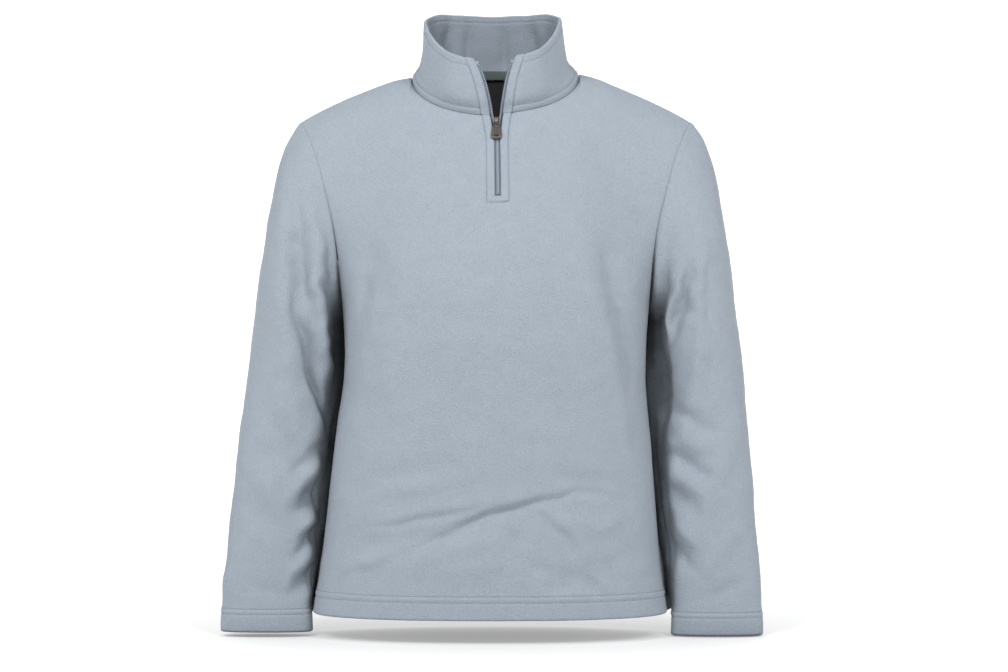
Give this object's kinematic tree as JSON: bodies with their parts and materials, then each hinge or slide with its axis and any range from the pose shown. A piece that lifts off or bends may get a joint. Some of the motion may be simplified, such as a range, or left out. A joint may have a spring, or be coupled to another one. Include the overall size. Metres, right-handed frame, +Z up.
{
  "type": "zip fleece pullover",
  "caption": "Long-sleeved fleece pullover with a stand collar and a short front zip, filled out as worn, its hanging pull tab hinged on the slider.",
  "frame": {"origin": "middle of the neck base, level with the points where the shoulder seams meet the collar", "axes": "+Z up the body, -Y out of the garment's front, +X towards the wearer's left"},
  "size_m": [0.692, 0.2579, 0.7935],
  "materials": {
    "front": "brushed pale blue-grey fleece",
    "back": "brushed pale blue-grey fleece",
    "sleeve_right": "brushed pale blue-grey fleece",
    "sleeve_left": "brushed pale blue-grey fleece",
    "collar": "brushed pale blue-grey fleece, two layers",
    "neck_tape": "woven grey-green tape",
    "zip_tape_right": "woven slate tape",
    "zip_tape_left": "woven slate tape",
    "zip_coil_right": "slate blue-grey nylon",
    "zip_coil_left": "slate blue-grey nylon",
    "zip_top_stop_right": "pale metal",
    "zip_top_stop_left": "pale metal",
    "zip_bottom_stop": "pale metal",
    "zip_slider": "worn nickel",
    "zip_pull": "gunmetal"
  },
  "bodies": {
    "garment": {"front": "front", "back": "back", "sleeve_right": "sleeve_right", "sleeve_left": "sleeve_left", "collar": "collar", "neck_tape": "neck_tape", "zip_tape_right": "zip_tape_right", "zip_tape_left": "zip_tape_left", "zip_coil_right": "zip_coil_right", "zip_coil_left": "zip_coil_left", "zip_top_stop_right": "zip_top_stop_right", "zip_top_stop_left": "zip_top_stop_left", "zip_bottom_stop": "zip_bottom_stop", "zip_slider": "zip_slider"},
    "pull_tab": {"zip_pull": "zip_pull"}
  },
  "joints": [
    {"name": "pull_tab_hinge", "type": "hinge", "parent": "garment", "child": "pull_tab", "pos_m": [0.00145, -0.08467, -0.06346], "axis": [-1, 0, 0], "range_deg": [0, 150]}
  ]
}
